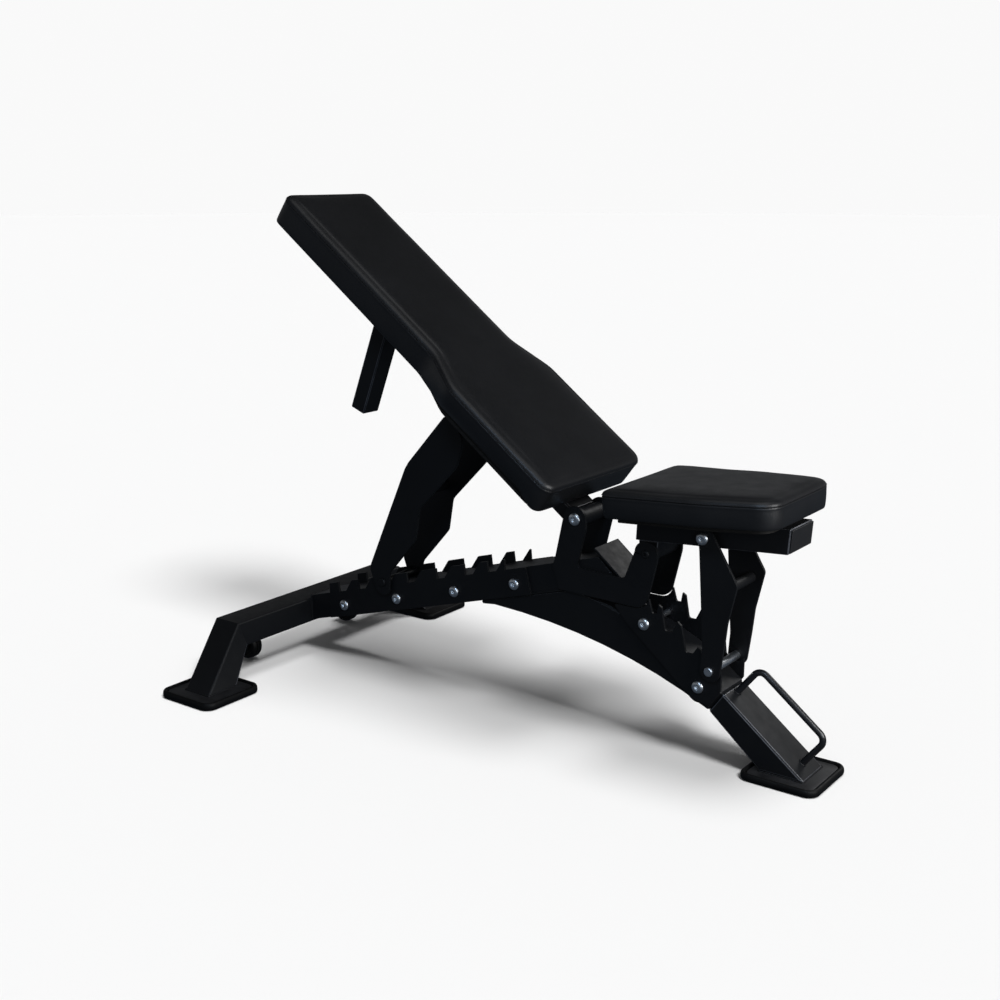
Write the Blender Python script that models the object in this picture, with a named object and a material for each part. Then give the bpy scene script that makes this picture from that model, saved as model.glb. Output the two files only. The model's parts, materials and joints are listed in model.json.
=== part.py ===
"""Adjustable weight bench: T-shaped base, ladder-adjusted backrest and seat.

Metres, +Z up. +X points to the front foot and its lift handle, Y runs across the bench.
Side outlines are drawn in a side view (x, z) measured from the middle of the front foot on the
floor, and FRONT_FOOT_X moves that side view into the part's frame, whose origin is on the floor
under the middle of the bench.
"""
import bpy
import bmesh
import math
from mathutils import Matrix, Vector

# ---------------------------------------------------------------- driving dimensions
FRONT_FOOT_X = 0.55775        # front foot centre, ahead of the origin
GAP = 0.0003                  # clearance between touching pieces
ARC_STEP = math.radians(12)   # one segment of a rounded corner

ROUND_SIDES = 12              # sides of bolts, rods and their holes

PLATE = 0.005                 # ladder plate thickness
HUB_PLATE = 0.006             # hub plate thickness
BEAM_HALF_WIDTH = 0.040       # spine, arch and front leg are 80 mm wide
STRUT_INNER = 0.0490          # inner face of a strut plate
STRUT_PLATE = 0.0055          # strut plate thickness

SPINE_SLOPE = 0.2885          # rise of the spine per metre forward
SPINE_REF = (-0.549, 0.249)   # a point of the line through the ladder bolts
SPINE_TOP = 0.030             # spine top above the bolt line
SPINE_BOTTOM = -0.0235        # spine bottom below the bolt line

HINGE = (-0.416, 0.394)       # backrest hinge axis
SEAT_PIVOT = (-0.270, 0.354)  # seat hinge axis

BACK_ANGLE = math.radians(37.05)   # incline of the backrest above level
BACK_LENGTH = 0.801
BACK_THICK = 0.060
BACK_TOP_START = (-0.3940, 0.4710)  # lower end of the backrest's top face
BACK_HALF_WIDE = 0.158             # half width of the lower part
BACK_HALF_NARROW = 0.121           # half width of the upper part
RAIL_HALF_WIDTH = 0.0385           # the backrest's rail runs between the hub plates
BACK_STRUT_PIVOT = (-0.662, 0.565)
BACK_ROD = (-0.8656, 0.1968)
ROD_RADIUS = 0.008

SEAT_TILT = math.radians(3.67)     # seat rises to the front
SEAT_LENGTH = 0.313
SEAT_THICK = 0.049
SEAT_TOP_START = (-0.317, 0.477)   # rear end of the seat's top face
SEAT_HALF_REAR = 0.131
SEAT_HALF_FRONT = 0.112
SEAT_STRUT_PIVOT = (-0.158, 0.402)
SEAT_ROD = (-0.137, 0.1720)
BOARD_THICK = 0.009

FOOT_SIZE = 0.141                  # side of a rubber foot
FRONT_FOOT_HEIGHT = 0.021
REAR_FOOT_HEIGHT = 0.024
REAR_FOOT = (-1.073, 0.333)        # rear foot centre: side view x, and distance from the middle
CROSS_TUBE = 0.052                 # height of the rear cross tube
CROSS_TUBE_DEPTH = 0.066           # and its size from front to rear
CROSS_TUBE_X = -1.111
CROSS_TUBE_TOP = 0.120
ELBOW_TOP_Y = 0.247                # mitre between cross tube and rear leg, top edge
ELBOW_LOW_Y = 0.226                # and bottom edge
LEG_SPREAD = 1.11                  # outward run of a rear leg per metre of drop

LEG_TOP_START = (-0.1161, 0.1326)  # upper end of the front leg's top face
LEG_TOP_END_X = 0.0385             # where that face meets the front foot
LEG_LOW_START = (-0.1425, 0.0952)  # upper and lower end of its underside
LEG_LOW_END_X = -0.0440

WHEEL_RADIUS = 0.029
WHEEL_WIDTH = 0.026
WHEEL_AXIS = (-1.157, 0.0325)
WHEEL_Y = 0.150

NOTCH_STATIONS = (-0.983, -0.929, -0.866, -0.799, -0.724, -0.655, -0.600)
TOOTH_TOP = 0.051                  # tooth tips above the bolt line
LADDER_BOLT_STATIONS = (-0.979, -0.837, -0.691, -0.549)
SEAT_LADDER_BOLTS = ((-0.270, 0.2275), (-0.161, 0.136))
BOLT_RADIUS = 0.005
BOLT_HEAD_RADIUS = 0.0112
BOLT_HEAD_HEIGHT = 0.0055


# ---------------------------------------------------------------- scene and materials
def clear_scene():
    for item in list(bpy.data.objects):
        bpy.data.objects.remove(item, do_unlink=True)


def make_material(name, colour, roughness, metallic=0.0):
    material = bpy.data.materials.new(name)
    material.use_nodes = True
    shader = material.node_tree.nodes["Principled BSDF"]
    shader.inputs["Base Color"].default_value = (*colour, 1.0)
    shader.inputs["Roughness"].default_value = roughness
    shader.inputs["Metallic"].default_value = metallic
    return material


# ---------------------------------------------------------------- outline helpers
def bolt_line(x):
    """Height of the line through the ladder bolts, parallel to the spine."""
    return SPINE_REF[1] + SPINE_SLOPE * (x - SPINE_REF[0])


def on_spine(x, above):
    return (x, bolt_line(x) + above)


def rounded_outline(corners):
    """Outline from corners (a, b) or (a, b, radius), each radius turned into an arc."""
    points = []
    count = len(corners)
    for index, corner in enumerate(corners):
        here = Vector(corner[:2])
        radius = corner[2] if len(corner) > 2 else 0.0
        before = (Vector(corners[index - 1][:2]) - here).normalized()
        after = (Vector(corners[(index + 1) % count][:2]) - here).normalized()
        opening = before.angle(after)
        if radius <= 0.0 or opening > math.pi - 0.02:
            points.append(here)
            continue
        reach = radius / math.tan(opening / 2)
        centre = here + (before + after).normalized() * (radius / math.sin(opening / 2))
        first = here + before * reach - centre
        turn = math.pi - opening
        if before.x * after.y - before.y * after.x > 0:
            turn = -turn
        steps = max(1, round(abs(turn) / ARC_STEP))
        for step in range(steps + 1):
            points.append(centre + Matrix.Rotation(turn * step / steps, 2) @ first)
    return [(p.x, p.y) for p in points]


def curve_points(start, control, end, steps):
    """Points of a quadratic Bezier curve, both ends included."""
    points = []
    for step in range(steps + 1):
        t = step / steps
        a, b, c = (1 - t) ** 2, 2 * t * (1 - t), t ** 2
        points.append((a * start[0] + b * control[0] + c * end[0],
                       a * start[1] + b * control[1] + c * end[1]))
    return points


def circle_points(centre, radius, count):
    return [(centre[0] + radius * math.cos(2 * math.pi * i / count),
             centre[1] + radius * math.sin(2 * math.pi * i / count)) for i in range(count)]


def signed_area(outline):
    return sum(a[0] * b[1] - b[0] * a[1] for a, b in zip(outline, outline[1:] + outline[:1])) / 2


# ---------------------------------------------------------------- object helpers
def frame_point(side_point, y=0.0):
    """Side view point (x, z) at width y, as a point of the part's frame."""
    return Vector((side_point[0] + FRONT_FOOT_X, y, side_point[1]))


def add_object(name, mesh_builder, material, origin=(0.0, 0.0, 0.0), parent=None):
    """Finish a bmesh built in the part's frame as an object whose origin is at origin."""
    mesh = bpy.data.meshes.new(name)
    bmesh.ops.recalc_face_normals(mesh_builder, faces=mesh_builder.faces)
    bmesh.ops.translate(mesh_builder, vec=-Vector(origin), verts=mesh_builder.verts)
    mesh_builder.to_mesh(mesh)
    mesh_builder.free()
    item = bpy.data.objects.new(name, mesh)
    bpy.context.scene.collection.objects.link(item)
    item.location = origin
    if material is not None:
        mesh.materials.append(material)
    if parent is not None:
        item.parent = parent
        item.matrix_parent_inverse = Matrix.Translation(-parent.location)
    return item


def prism_mesh(outline, low, high, place):
    """Closed prism: the outline's points placed at depth low and at depth high."""
    if signed_area(outline) < 0:
        outline = outline[::-1]
    shape = bmesh.new()
    bottom = [shape.verts.new(place(point, low)) for point in outline]
    top = [shape.verts.new(place(point, high)) for point in outline]
    shape.faces.new(bottom)
    shape.faces.new(top[::-1])
    for index in range(len(outline)):
        after = (index + 1) % len(outline)
        shape.faces.new((bottom[after], bottom[index], top[index], top[after]))
    return shape


def side_place(point, y):
    return frame_point(point, y)


def side_plate(name, outline, y_low, y_high, material, origin=(0, 0, 0), parent=None):
    """Piece drawn in the side view and extruded across the bench."""
    shape = prism_mesh(outline, y_low, y_high, side_place)
    return add_object(name, shape, material, origin, parent)


def bar_across(name, centre, radius, half_length, material, origin=(0, 0, 0), parent=None, sides=ROUND_SIDES):
    """Round bar across the bench."""
    outline = circle_points(centre, radius, sides)
    item = side_plate(name, outline, -half_length, half_length, material, origin, parent)
    smooth(item)
    return item


def smooth(item):
    item.data.shade_smooth()
    item.data.set_sharp_from_angle(angle=math.radians(40))


def bevel(item, width, segments=1):
    modifier = item.modifiers.new("edge_bevel", "BEVEL")
    modifier.width = width
    modifier.segments = segments
    modifier.limit_method = "ANGLE"
    modifier.angle_limit = math.radians(40)
    modifier.harden_normals = False


def cut(item, outline, y_low, y_high):
    """Cut a side view outline out of a piece, across the bench."""
    name = "cut_" + item.name + "_" + str(len(item.modifiers))
    cutter = add_object(name, prism_mesh(outline, y_low, y_high, side_place), None)
    cutter.hide_render = True
    cutter.display_type = "WIRE"
    modifier = item.modifiers.new("cut", "BOOLEAN")
    modifier.operation = "DIFFERENCE"
    modifier.solver = "EXACT"
    modifier.object = cutter


def drill(item, centre, radius, y_low=-0.1, y_high=0.1, sides=ROUND_SIDES):
    """Cut a round hole across the bench."""
    cut(item, circle_points(centre, radius, sides), y_low, y_high)


def turned_across(name, centre, profile, material, origin=(0, 0, 0), parent=None, sides=ROUND_SIDES):
    """Turned piece with its axis across the bench, profile given as (y, radius) stations."""
    shape = bmesh.new()
    rings = []
    for y, radius in profile:
        rings.append([shape.verts.new(frame_point(p, y)) for p in circle_points(centre, radius, sides)])
    shape.faces.new(rings[0])
    shape.faces.new(rings[-1][::-1])
    for ring, following in zip(rings, rings[1:]):
        for index in range(sides):
            after = (index + 1) % sides
            shape.faces.new((ring[after], ring[index], following[index], following[after]))
    item = add_object(name, shape, material, origin, parent)
    smooth(item)
    return item


def bolt_across(name, centre, face_y, material, origin=(0, 0, 0), parent=None, shank=BOLT_RADIUS,
                head=BOLT_HEAD_RADIUS, height=BOLT_HEAD_HEIGHT):
    """Through bolt with a domed button head on each side, heads resting just off face_y."""
    seat = face_y + GAP
    half = [(seat, shank), (seat, head), (seat + 0.35 * height, head),
            (seat + 0.8 * height, 0.78 * head), (seat + height, 0.45 * head)]
    profile = [(-y, radius) for y, radius in reversed(half)] + half
    return turned_across(name, centre, profile, material, origin, parent)


def ring_across(name, centre, profile, material, origin=(0, 0, 0), parent=None, sides=ROUND_SIDES):
    """Turned ring with its axis across the bench, from a closed profile of (y, radius) points."""
    shape = bmesh.new()
    rings = []
    for y, radius in profile:
        rings.append([shape.verts.new(frame_point(p, y)) for p in circle_points(centre, radius, sides)])
    for ring, following in zip(rings, rings[1:] + rings[:1]):
        for index in range(sides):
            after = (index + 1) % sides
            shape.faces.new((ring[after], ring[index], following[index], following[after]))
    item = add_object(name, shape, material, origin, parent)
    smooth(item)
    return item


def sleeve_across(name, centre, inner, outer, y_low, y_high, material, origin=(0, 0, 0), parent=None):
    """Open tube across the bench."""
    profile = [(y_low, inner), (y_low, outer), (y_high, outer), (y_high, inner)]
    return ring_across(name, centre, profile, material, origin, parent)


def joint_empty(name, axis_point):
    """Empty on a hinge axis, parent of everything that turns about it."""
    empty = bpy.data.objects.new(name, None)
    empty.location = frame_point(axis_point)
    bpy.context.scene.collection.objects.link(empty)
    return empty


# ---------------------------------------------------------------- cushion frames of reference
BACK_ALONG = Vector((-math.cos(BACK_ANGLE), math.sin(BACK_ANGLE)))
BACK_DOWN = Vector((-math.sin(BACK_ANGLE), -math.cos(BACK_ANGLE)))
SEAT_ALONG = Vector((math.cos(SEAT_TILT), math.sin(SEAT_TILT)))
SEAT_DOWN = Vector((math.sin(SEAT_TILT), -math.cos(SEAT_TILT)))


def back_point(along, depth):
    """Side view point at a distance along the backrest and below its underside."""
    start = Vector(BACK_TOP_START)
    return tuple(start + BACK_ALONG * along + BACK_DOWN * (BACK_THICK + depth))


def seat_point(along, depth):
    start = Vector(SEAT_TOP_START)
    return tuple(start + SEAT_ALONG * along + SEAT_DOWN * (SEAT_THICK + depth))


def back_place(point, depth):
    return frame_point(back_point(point[0], depth), point[1])


def seat_place(point, depth):
    return frame_point(seat_point(point[0], depth), point[1])


def back_pad_outline(inset):
    """Plan of the backrest: wide at the hips, then an S-curve into the narrow upper part."""
    wide = BACK_HALF_WIDE - inset
    narrow = BACK_HALF_NARROW - inset
    low, high = inset, BACK_LENGTH - inset
    half = rounded_outline([(low, 0), (low, wide, 0.024 - inset / 2), (0.265, wide, 0.06),
                            (0.350, narrow, 0.06), (high, narrow, 0.018 - inset / 2), (high, 0)])
    mirror = [(along, -across) for along, across in reversed(half[1:-1])]
    return half + mirror


def seat_pad_outline(inset):
    rear = SEAT_HALF_REAR - inset
    front = SEAT_HALF_FRONT - inset
    low, high = inset, SEAT_LENGTH - inset
    half = rounded_outline([(low, 0), (low, rear, 0.016 - inset / 2), (0.19, rear - 0.003, 0.2),
                            (high, front, 0.038 - inset / 2), (high, 0)])
    mirror = [(along, -across) for along, across in reversed(half[1:-1])]
    return half + mirror


# ---------------------------------------------------------------- base
def build_feet(steel, rubber):
    feet = [("front_foot", 0.0, 0.0, FRONT_FOOT_HEIGHT),
            ("rear_foot_l", REAR_FOOT[0], REAR_FOOT[1], REAR_FOOT_HEIGHT),
            ("rear_foot_r", REAR_FOOT[0], -REAR_FOOT[1], REAR_FOOT_HEIGHT)]
    half = FOOT_SIZE / 2
    rim, floor = 0.006, 0.007
    for name, x, y, height in feet:
        def plan(point, z, x=x, y=y):
            return Vector((point[0] + x + FRONT_FOOT_X, point[1] + y, z))

        corners = [(-half, -half, 0.022), (half, -half, 0.022), (half, half, 0.022),
                   (-half, half, 0.022)]
        outer = rounded_outline(corners)
        inner = [(a * (half - rim) / half, b * (half - rim) / half) for a, b in outer]
        plate = [(a * (half - rim - GAP) / half, b * (half - rim - GAP) / half) for a, b in outer]
        tray = bmesh.new()
        levels = [(outer, 0.0), (outer, 0.5 * height), ([(0.985 * a, 0.985 * b) for a, b in outer],
                  0.62 * height), (inner, 0.62 * height), (inner, floor)]
        rings = [[tray.verts.new(plan(point, z)) for point in ring] for ring, z in levels]
        tray.faces.new(rings[0][::-1])
        tray.faces.new(rings[-1])
        for ring, following in zip(rings, rings[1:]):
            for index in range(len(ring)):
                after = (index + 1) % len(ring)
                tray.faces.new((ring[index], ring[after], following[after], following[index]))
        add_object(name + "_rubber", tray, rubber)
        cap = prism_mesh(plate, floor + GAP, foot_top(height) - GAP, plan)
        add_object(name + "_plate", cap, steel)


def foot_top(height):
    """Height of the steel plate's top, a little below the rubber lip round it."""
    return 0.50 * height + GAP


def build_rear_legs(steel):
    """Cross tube with a mitred leg welded on each end, sloping down and out to a rear foot."""
    half = CROSS_TUBE_DEPTH / 2
    corners = rounded_outline([(-half, 0.0, 0.004), (half, 0.0, 0.004), (half, CROSS_TUBE, 0.004),
                               (-half, CROSS_TUBE, 0.004)])

    def tube(name, ends):
        """Box tube between two sections, each (x, y and z of the top face, y and z of the bottom)."""
        shape = bmesh.new()
        rings = []
        for x, top_y, top_z, low_y, low_z in ends:
            ring = []
            for across, height in corners:
                share = height / CROSS_TUBE
                side = (x + across, low_z + share * (top_z - low_z))
                ring.append(shape.verts.new(frame_point(side, low_y + share * (top_y - low_y))))
            rings.append(ring)
        shape.faces.new(rings[0])
        shape.faces.new(rings[1][::-1])
        for index in range(len(corners)):
            after = (index + 1) % len(corners)
            shape.faces.new((rings[0][after], rings[0][index], rings[1][index], rings[1][after]))
        smooth(add_object(name, shape, steel))

    low = CROSS_TUBE_TOP - CROSS_TUBE
    foot_z = foot_top(REAR_FOOT_HEIGHT)
    top_foot = ELBOW_TOP_Y + (CROSS_TUBE_TOP - foot_z) * LEG_SPREAD
    tube("rear_cross_tube", [(CROSS_TUBE_X, sign * ELBOW_TOP_Y, CROSS_TUBE_TOP, sign * ELBOW_LOW_Y, low)
                             for sign in (-1, 1)])
    for side, sign in (("l", 1), ("r", -1)):
        elbow = (CROSS_TUBE_X, sign * (ELBOW_TOP_Y + GAP), CROSS_TUBE_TOP, sign * (ELBOW_LOW_Y + GAP), low)
        foot = (REAR_FOOT[0] - 0.001, sign * top_foot, foot_z, sign * (top_foot - 0.075), foot_z)
        tube("rear_leg_" + side, [elbow, foot])


def build_spine(steel):
    rear = CROSS_TUBE_X + CROSS_TUBE_DEPTH / 2 + GAP
    outline = [(rear, bolt_line(rear) + SPINE_BOTTOM), on_spine(-0.3255, SPINE_BOTTOM),
               on_spine(-0.3700, SPINE_TOP), (rear, bolt_line(rear) + SPINE_TOP)]
    spine = side_plate("spine_tube", outline, -BEAM_HALF_WIDTH, BEAM_HALF_WIDTH, steel)
    for station in LADDER_BOLT_STATIONS:
        drill(spine, on_spine(station, 0.0), BOLT_RADIUS + GAP)
    bevel(spine, 0.003)
    end_plate = [(-0.3802, 0.3432), (-0.3775, 0.3465), (-0.3187, 0.2985), (-0.3214, 0.2952)]
    side_plate("spine_end_plate", end_plate, -BEAM_HALF_WIDTH + 0.0005, BEAM_HALF_WIDTH - 0.0005, steel)


def build_front_beam(steel):
    """Arch from under the spine down to the leg, then the straight leg to the front foot."""
    under = SPINE_BOTTOM - GAP
    low = curve_points((-0.600, 0.1975), (-0.342, 0.1898), (-0.1429, 0.0956), 8)
    high = curve_points(on_spine(-0.420, under), (-0.2235, 0.2212), (-0.1165, 0.1330), 6)
    arch = low + high[::-1] + [on_spine(-0.629, under), (-0.630, 0.194)]
    beam = side_plate("arch_beam", arch, -BEAM_HALF_WIDTH, BEAM_HALF_WIDTH, steel)
    drill(beam, SEAT_LADDER_BOLTS[1], BOLT_RADIUS + GAP)
    bevel(beam, 0.003)
    top = foot_top(FRONT_FOOT_HEIGHT)
    leg = [LEG_TOP_START, LEG_LOW_START, (LEG_LOW_END_X, top), (LEG_TOP_END_X, top)]
    item = side_plate("front_leg_tube", leg, -BEAM_HALF_WIDTH, BEAM_HALF_WIDTH, steel)
    bevel(item, 0.003)


def build_lift_handle(steel):
    """Round bar loop standing on the leg's top face."""
    start = Vector(LEG_TOP_START)
    along = (Vector((LEG_TOP_END_X, foot_top(FRONT_FOOT_HEIGHT))) - start).normalized()
    out = Vector((-along.y, along.x))
    radius = 0.0058
    lift = GAP
    near, far, height, corner = 0.011, 0.170, 0.064, 0.016
    route = rounded_outline([(near, lift), (near, height, corner), (far, height, corner), (far, lift),
                             (far - 0.001, lift - 1.0)])
    route = [p for p in route if p[1] > -0.5]
    curve = bpy.data.curves.new("lift_handle", "CURVE")
    curve.dimensions = "3D"
    curve.bevel_depth = radius
    curve.bevel_resolution = 3
    curve.use_fill_caps = True
    spline = curve.splines.new("POLY")
    spline.points.add(len(route) - 1)
    for point, (a, b) in zip(spline.points, route):
        side = start + along * a + out * b
        point.co = (*frame_point(tuple(side)), 1.0)
    curve.materials.append(steel)
    item = bpy.data.objects.new("lift_handle", curve)
    bpy.context.scene.collection.objects.link(item)


def hub_outline():
    return rounded_outline([
        (-0.4475, 0.2585, 0.004), (-0.4625, 0.2995, 0.010), (-0.4570, 0.3190, 0.02),
        (-0.4360, 0.4165, 0.019), (-0.3965, 0.4165, 0.019), (-0.3930, 0.3800, 0.02),
        (-0.4110, 0.3060, 0.006), (-0.3120, 0.3020, 0.012), (-0.2920, 0.3560, 0.006),
        (-0.2930, 0.3760, 0.020), (-0.2470, 0.3760, 0.020), (-0.2475, 0.3450, 0.02),
        (-0.2685, 0.2550, 0.024)])


def ladder_outline():
    """Back ladder: upright rear wall and sloped front side at each notch."""
    points = [(-1.0195, 0.0895), (-1.0195, bolt_line(-1.0195) + TOOTH_TOP)]
    for station in NOTCH_STATIONS:
        points += [on_spine(station - 0.0125, TOOTH_TOP), on_spine(station - 0.0095, SPINE_TOP),
                   on_spine(station + 0.0090, SPINE_TOP), on_spine(station + 0.0255, TOOTH_TOP)]
    points += [on_spine(-0.5725, TOOTH_TOP - 0.002), on_spine(-0.5710, SPINE_TOP),
               on_spine(-0.5240, SPINE_TOP), on_spine(-0.5110, -0.0245), (-1.000, 0.0945)]
    return rounded_outline([(x, z, 0.0) for x, z in points])


def seat_ladder_outline():
    """Seat ladder: a band along its bolts, its upper edge stepping down through four notches."""
    return rounded_outline([
        (-0.3330, 0.2535, 0.003), (-0.2670, 0.2530, 0.0262), (-0.2620, 0.2745),
        (-0.2545, 0.2500, 0.004), (-0.2455, 0.2500), (-0.2425, 0.2680), (-0.2360, 0.2640),
        (-0.2340, 0.2520), (-0.2285, 0.2235, 0.005), (-0.2150, 0.2235), (-0.2045, 0.2450), (-0.1970, 0.2385),
        (-0.1920, 0.2180), (-0.1875, 0.1930, 0.005), (-0.1740, 0.1930), (-0.1640, 0.2075), (-0.1570, 0.2030),
        (-0.1535, 0.1740), (-0.1465, 0.1635), (-0.1275, 0.1635), (-0.1185, 0.1710),
        (-0.1185, 0.1370, 0.004), (-0.1370, 0.1080, 0.010), (-0.1680, 0.1080, 0.020),
        (-0.3075, 0.2240, 0.006)])


def build_side_plates(steel):
    for side, sign in (("l", 1), ("r", -1)):
        inner = sign * (BEAM_HALF_WIDTH + GAP)
        ladder = side_plate("back_ladder_" + side, ladder_outline(), inner, inner + sign * PLATE, steel)
        for station in LADDER_BOLT_STATIONS:
            drill(ladder, on_spine(station, 0.0), BOLT_RADIUS + GAP)
        hub = side_plate("hub_plate_" + side, hub_outline(), inner, inner + sign * HUB_PLATE, steel)
        drill(hub, HINGE, 0.0063)
        drill(hub, SEAT_PIVOT, BOLT_RADIUS + GAP)
        seat_ladder = side_plate("seat_ladder_" + side, seat_ladder_outline(), inner,
                                 inner + sign * PLATE, steel)
        for point in SEAT_LADDER_BOLTS:
            drill(seat_ladder, point, BOLT_RADIUS + GAP)


def build_base_bolts(steel, zinc):
    face = BEAM_HALF_WIDTH + GAP + PLATE
    for number, station in enumerate(LADDER_BOLT_STATIONS, 1):
        bolt_across("ladder_bolt_" + str(number), on_spine(station, 0.0), face, zinc)
    for number, point in enumerate(SEAT_LADDER_BOLTS, 1):
        bolt_across("seat_ladder_bolt_" + str(number), point, face, zinc)
    hub_face = BEAM_HALF_WIDTH + GAP + HUB_PLATE
    bolt_across("back_hinge_bolt", HINGE, hub_face, zinc, shank=0.006, head=0.0118)
    bolt_across("seat_hinge_bolt", SEAT_PIVOT, hub_face, steel, head=0.0075, height=0.003)


def build_wheels(steel, zinc, rubber):
    """Small transport wheels behind the cross tube, clear of the floor until the bench is tipped."""
    back_face = CROSS_TUBE_X - CROSS_TUBE_DEPTH / 2 - GAP
    cheek = 0.003
    for side, sign in (("l", 1), ("r", -1)):
        middle = sign * WHEEL_Y
        fork = rounded_outline([(back_face, 0.078), (back_face, 0.106), (WHEEL_AXIS[0] - 0.012, 0.106),
                                (WHEEL_AXIS[0] - 0.012, WHEEL_AXIS[1] - 0.009, 0.009),
                                (WHEEL_AXIS[0] + 0.012, WHEEL_AXIS[1] - 0.009, 0.009)])
        half = WHEEL_WIDTH / 2
        bracket = side_plate("wheel_bracket_" + side, fork, middle - half - cheek - 0.001,
                             middle + half + cheek + 0.001, steel)
        slot = [(back_face + 0.05, -0.01), (back_face + 0.05, 0.0665), (WHEEL_AXIS[0] - 0.05, 0.0665),
                (WHEEL_AXIS[0] - 0.05, -0.01)]
        cut(bracket, slot, middle - half - 0.001, middle + half + 0.001)
        drill(bracket, WHEEL_AXIS, 0.004 + GAP, middle - 0.03, middle + 0.03)
        end = half + cheek + 0.001 + GAP
        profile = [(middle - end - 0.003, 0.006), (middle - end, 0.0075), (middle - end, 0.004),
                   (middle + end, 0.004), (middle + end, 0.0075), (middle + end + 0.003, 0.006)]
        turned_across("wheel_axle_" + side, WHEEL_AXIS, profile, zinc)
        origin = frame_point(WHEEL_AXIS, middle)
        edge = 0.003
        rim = [(-half, 0.0045), (-half, WHEEL_RADIUS - edge), (-half + edge, WHEEL_RADIUS),
               (half - edge, WHEEL_RADIUS), (half, WHEEL_RADIUS - edge), (half, 0.0045)]
        profile = [(middle + y, radius) for y, radius in rim]
        ring_across("wheel_" + side, WHEEL_AXIS, profile, rubber, origin, sides=24)


# ---------------------------------------------------------------- backrest
def build_backrest(steel, zinc, leather, board, rubber):
    origin = frame_point(HINGE)
    hinge = joint_empty("backrest_axis", HINGE)
    pad = prism_mesh(back_pad_outline(0.0), -BACK_THICK, -GAP, back_place)
    item = add_object("back_pad", pad, leather, origin, hinge)
    bevel(item, 0.008, 2)
    back_board = prism_mesh(back_pad_outline(0.022), 0.0, BOARD_THICK, back_place)
    add_object("back_board", back_board, board, origin, hinge)

    rail_top = BOARD_THICK + GAP
    rail_bottom = rail_top + 0.030
    axis_along, axis_depth = -0.0287, 0.0147
    sleeve = 0.0165
    arc = [(axis_along + (sleeve + GAP) * math.cos(a), axis_depth + (sleeve + GAP) * math.sin(a))
           for a in (math.radians(d) for d in (-18, 2, 22, 42, 60))]
    side = [back_point(0.665, rail_top), back_point(0.665, rail_bottom - 0.010),
            back_point(0.640, rail_bottom), back_point(-0.008, rail_bottom)]
    outline = side + [back_point(a, d) for a, d in reversed(arc)]
    rail = side_plate("back_rail", outline, -RAIL_HALF_WIDTH, RAIL_HALF_WIDTH, steel, origin,
                      hinge)
    drill(rail, BACK_STRUT_PIVOT, BOLT_RADIUS + GAP)
    bevel(rail, 0.003)
    reach = BEAM_HALF_WIDTH - GAP
    sleeve_across("back_hinge_sleeve", HINGE, 0.0063, sleeve, -reach, reach, steel, origin, hinge)

    # The post stands square on the spine when the backrest is level.
    spine_angle = math.atan(SPINE_SLOPE)
    post_angle = 1.5 * math.pi + spine_angle - BACK_ANGLE
    down = Vector((math.cos(post_angle), math.sin(post_angle)))
    across = Vector((-down.y, down.x))
    end = Vector((-0.9515, 0.531))
    half = 0.0175
    depth_here = (end - Vector(back_point(0.0, rail_bottom + GAP))).dot(BACK_DOWN)
    steps = down.dot(BACK_DOWN)
    slide = across.dot(BACK_DOWN)
    corners = []
    for offset in (-half, half):
        height = (depth_here + offset * slide) / steps
        corners.append(end + across * offset - down * height)
    post = [tuple(corners[0]), tuple(end - across * half), tuple(end + across * half), tuple(corners[1])]
    item = side_plate("back_post", post, -0.0225, 0.0225, steel, origin, hinge)
    bevel(item, 0.002)

    bolt_across("back_strut_bolt", BACK_STRUT_PIVOT, STRUT_INNER + STRUT_PLATE, zinc, origin, hinge)
    low, high = RAIL_HALF_WIDTH + GAP, STRUT_INNER - GAP
    for side, ends in (("l", (low, high)), ("r", (-high, -low))):
        sleeve_across("back_strut_spacer_" + side, BACK_STRUT_PIVOT, BOLT_RADIUS + GAP, 0.010, *ends, zinc,
                      origin, hinge)


def build_back_strut(steel, zinc):
    origin = frame_point(BACK_STRUT_PIVOT)
    axis = joint_empty("back_strut_axis", BACK_STRUT_PIVOT)
    top = [(BACK_STRUT_PIVOT[0] + 0.0165 * math.cos(turn), BACK_STRUT_PIVOT[1] + 0.0165 * math.sin(turn))
           for turn in (math.radians(degrees) for degrees in (110, 80, 50, 20, -10))]
    outline = top + rounded_outline([
        (-0.6590, 0.5100, 0.03), (-0.6760, 0.4560, 0.03), (-0.7680, 0.3620, 0.020),
        (-0.7790, 0.2960, 0.020), (-0.8480, 0.2180, 0.020), (-0.8480, 0.1735, 0.012),
        (-0.8790, 0.1690, 0.020), (-0.8990, 0.2230, 0.02), (-0.8000, 0.4440, 0.05),
        (-0.6990, 0.5560, 0.012)])
    for side, sign in (("l", 1), ("r", -1)):
        plate = side_plate("back_strut_plate_" + side, outline, sign * STRUT_INNER,
                           sign * (STRUT_INNER + STRUT_PLATE), steel, origin, axis)
        drill(plate, BACK_STRUT_PIVOT, BOLT_RADIUS + GAP)
        drill(plate, BACK_ROD, ROD_RADIUS + GAP)
    bar_across("back_strut_tube", (-0.7900, 0.3900), 0.0125, STRUT_INNER - GAP, steel, origin, axis)
    bar_across("back_strut_rod", BACK_ROD, ROD_RADIUS, STRUT_INNER + STRUT_PLATE + 0.004, steel, origin,
               axis)


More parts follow.
